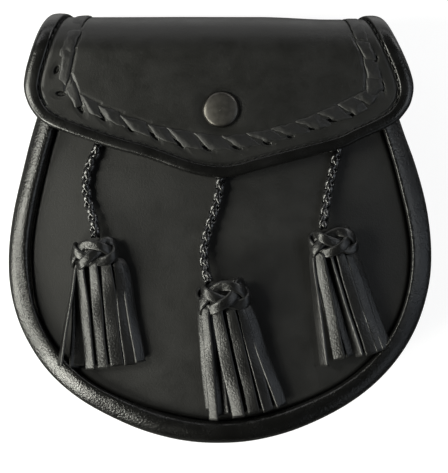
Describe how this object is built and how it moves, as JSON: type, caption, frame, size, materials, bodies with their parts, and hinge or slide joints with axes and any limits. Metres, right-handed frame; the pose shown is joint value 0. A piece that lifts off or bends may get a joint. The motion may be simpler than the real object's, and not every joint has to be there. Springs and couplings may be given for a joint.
{
  "type": "sporran pouch",
  "caption": "Rounded leather sporran pouch with a fastened fold-over flap, padded rims, laced flap edge, press stud and hanging leather tassels on braided cords.",
  "frame": {"origin": "under the middle of the pouch's outline, on the surface it lies on", "axes": "+X to the right of the front, +Y to the top of the pouch, +Z out of the front"},
  "size_m": [0.1768, 0.1815, 0.0428],
  "materials": {
    "leather": "very dark warm grey-black smooth leather, low sheen",
    "rim_leather": "black leather, softly polished and a little creased over the padding",
    "thong_leather": "black cut leather, waxed, with paler cut edges",
    "braid": "glossy black round braid",
    "gunmetal": "dark gunmetal plating, fine brushed dome"
  },
  "bodies": {
    "root": {"back_panel": "leather", "back_rim": "rim_leather", "gusset": "leather", "front_panel": "leather", "front_rim": "rim_leather", "flap": "leather", "flap_rim": "rim_leather", "flap_lacing": "thong_leather", "snap_cap": "gunmetal", "snap_stud": "gunmetal", "tassel_cord_left": "braid", "tassel_cord_centre": "braid", "tassel_cord_right": "braid", "stop_knot_left": "braid", "stop_knot_centre": "braid", "stop_knot_right": "braid", "tassel_knot_left": "thong_leather", "tassel_knot_centre": "thong_leather", "tassel_knot_right": "thong_leather", "tassel_fringe_left": "thong_leather", "tassel_fringe_centre": "thong_leather", "tassel_fringe_right": "thong_leather", "strap_loop_left": "leather", "strap_loop_right": "leather"}
  },
  "joints": []
}
